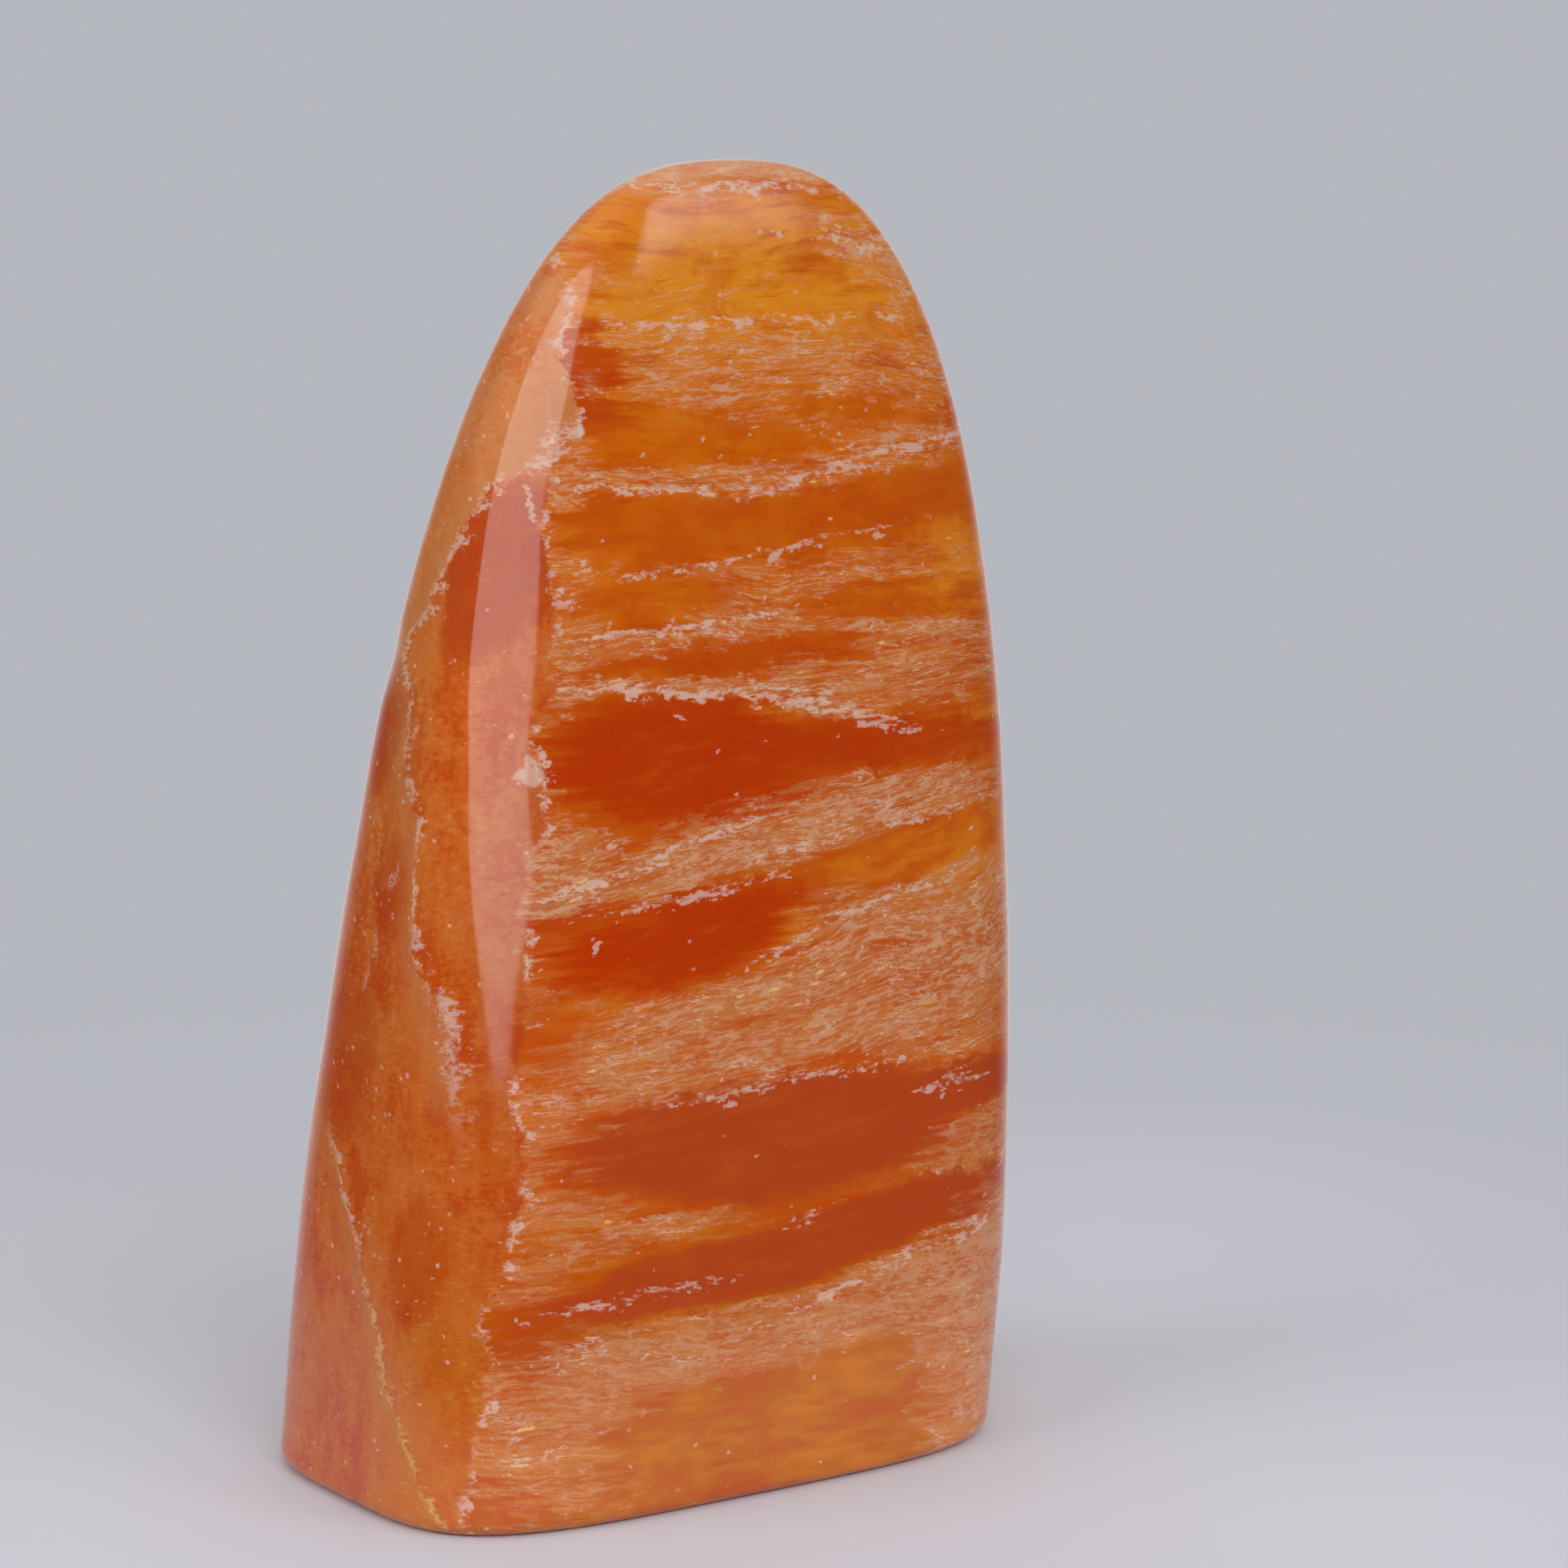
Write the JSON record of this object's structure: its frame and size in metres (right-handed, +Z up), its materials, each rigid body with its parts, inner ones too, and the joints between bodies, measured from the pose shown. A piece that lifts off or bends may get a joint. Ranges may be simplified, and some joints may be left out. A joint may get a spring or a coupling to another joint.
{
  "type": "orange calcite freeform",
  "caption": "Polished orange calcite freeform: a tapering, gently leaning slab of banded stone with a domed crown, cut flat below so that it stands.",
  "frame": {"origin": "on the flat foot, under the middle of the stone's extents", "axes": "+Z up along the height, X across the broad faces, -Y towards the viewer of the broad front face"},
  "size_m": [0.0708, 0.0416, 0.12],
  "materials": {
    "calcite": "polished, banded translucent orange with milky cloud bands and clear red-orange windows"
  },
  "bodies": {
    "root": {"stone": "calcite"}
  },
  "joints": []
}
